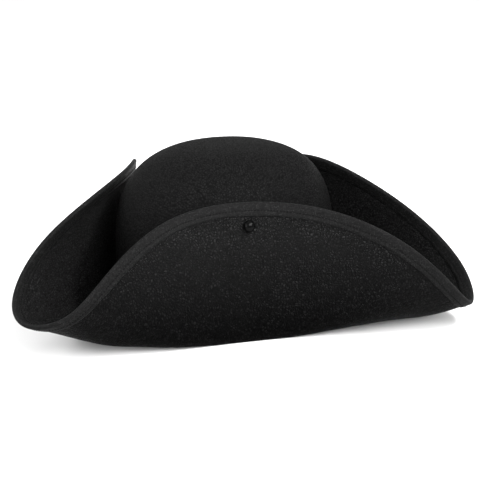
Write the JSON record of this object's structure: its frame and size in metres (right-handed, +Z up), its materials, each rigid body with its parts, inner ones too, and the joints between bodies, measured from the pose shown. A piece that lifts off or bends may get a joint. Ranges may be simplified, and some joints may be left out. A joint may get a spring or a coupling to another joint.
{
  "type": "tricorn hat",
  "caption": "Tricorn hat: plain domed crown, wide brim cocked up into three flaps, folded tape along the brim's edge and a domed button on the left flap.",
  "frame": {"origin": "on the table the hat stands on, below the middle of its overall size", "axes": "+Z up; -Y towards the front corner; +X towards the wearer's left, where the button is"},
  "size_m": [0.3846, 0.3496, 0.144],
  "materials": {
    "crown_felt": "fine matte felt",
    "brim_felt": "coarse pebbled felt, stiffened, with a faint sheen",
    "tape": "smooth matte woven tape",
    "button": "polished"
  },
  "bodies": {
    "root": {"crown": "crown_felt", "brim": "brim_felt", "edge_binding": "tape", "button": "button"}
  },
  "joints": []
}
